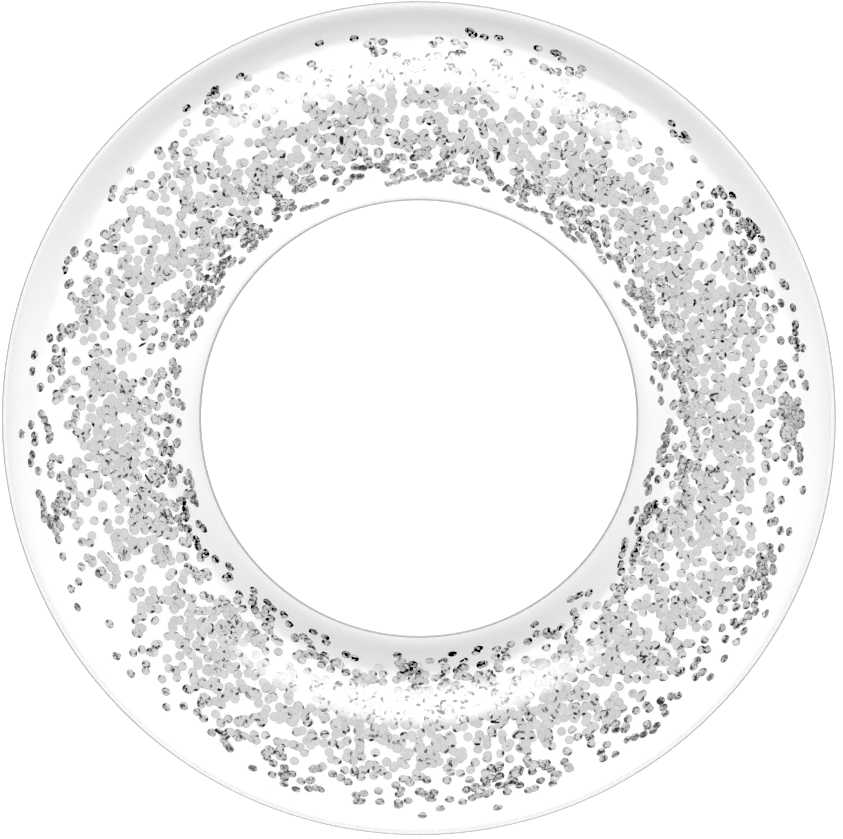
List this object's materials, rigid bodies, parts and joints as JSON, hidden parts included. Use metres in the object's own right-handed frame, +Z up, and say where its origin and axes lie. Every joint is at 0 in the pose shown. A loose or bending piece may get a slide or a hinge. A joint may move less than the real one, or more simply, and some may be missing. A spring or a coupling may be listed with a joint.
{
  "type": "inflatable swim ring",
  "caption": "Clear inflatable swim ring of two welded film skins, with a push-in air valve underneath and loose silver foil confetti in the tube.",
  "frame": {"origin": "on the surface that the ring lies on, in the middle of the ring's hole", "axes": "+Z up through the hole, square to the ring; +X from the middle of the hole towards the air valve"},
  "size_m": [0.8046, 0.8046, 0.183],
  "materials": {
    "clear_film": "clear soft PVC film, glossy",
    "clear_moulding": "clear soft PVC moulding, slightly milky",
    "silver_foil": "metallised foil, bright, lightly creased"
  },
  "bodies": {
    "ring": {"upper_skin": "clear_film", "lower_skin": "clear_film", "valve_base": "clear_moulding", "valve_boot": "clear_moulding", "confetti_disc_01": "silver_foil", "confetti_disc_02": "silver_foil", "confetti_disc_03": "silver_foil", "confetti_disc_04": "silver_foil", "confetti_disc_05": "silver_foil", "confetti_disc_06": "silver_foil", "confetti_disc_07": "silver_foil", "confetti_disc_08": "silver_foil", "confetti_disc_09": "silver_foil", "confetti_disc_10": "silver_foil", "confetti_disc_11": "silver_foil", "confetti_disc_12": "silver_foil", "confetti_disc_13": "silver_foil", "confetti_disc_14": "silver_foil", "confetti_disc_15": "silver_foil", "confetti_disc_16": "silver_foil", "confetti_disc_17": "silver_foil", "confetti_disc_18": "silver_foil", "confetti_disc_19": "silver_foil", "confetti_disc_20": "silver_foil", "confetti_disc_21": "silver_foil", "confetti_disc_22": "silver_foil", "confetti_disc_23": "silver_foil", "confetti_disc_24": "silver_foil", "confetti_disc_25": "silver_foil", "confetti_disc_26": "silver_foil", "confetti_disc_27": "silver_foil", "confetti_disc_28": "silver_foil", "confetti_disc_29": "silver_foil", "confetti_disc_30": "silver_foil", "confetti_disc_31": "silver_foil", "confetti_disc_32": "silver_foil", "confetti_disc_33": "silver_foil", "confetti_disc_34": "silver_foil", "confetti_disc_35": "silver_foil", "confetti_disc_36": "silver_foil", "confetti_disc_37": "silver_foil", "confetti_disc_38": "silver_foil", "confetti_disc_39": "silver_foil", "confetti_disc_40": "silver_foil", "confetti_disc_41": "silver_foil", "confetti_disc_42": "silver_foil", "confetti_disc_43": "silver_foil", "confetti_disc_44": "silver_foil", "confetti_disc_45": "silver_foil", "confetti_disc_46": "silver_foil", "confetti_disc_47": "silver_foil", "confetti_disc_48": "silver_foil"},
    "stem": {"valve_stem": "clear_moulding", "valve_strap": "clear_moulding"},
    "plug": {"valve_plug": "clear_moulding"},
    "flap": {"valve_flap": "clear_moulding"}
  },
  "joints": [
    {"name": "stem_pop_out", "type": "slide", "parent": "ring", "child": "stem", "axis": [0.6691, 0, -0.7431], "range_m": [0, 0.0155], "deforming": ["valve_boot"]},
    {"name": "plug_hinge", "type": "hinge", "parent": "stem", "child": "plug", "pos_m": [0.37481, 0, 0.02699], "axis": [0, -1, 0], "range_deg": [0, 160], "deforming": ["valve_strap"]},
    {"name": "flap_hinge", "type": "hinge", "parent": "stem", "child": "flap", "pos_m": [0.36468, 0, 0.03286], "axis": [0, 1, 0], "range_deg": [0, 60], "stiffness_Nm_per_rad": 0.0001}
  ]
}
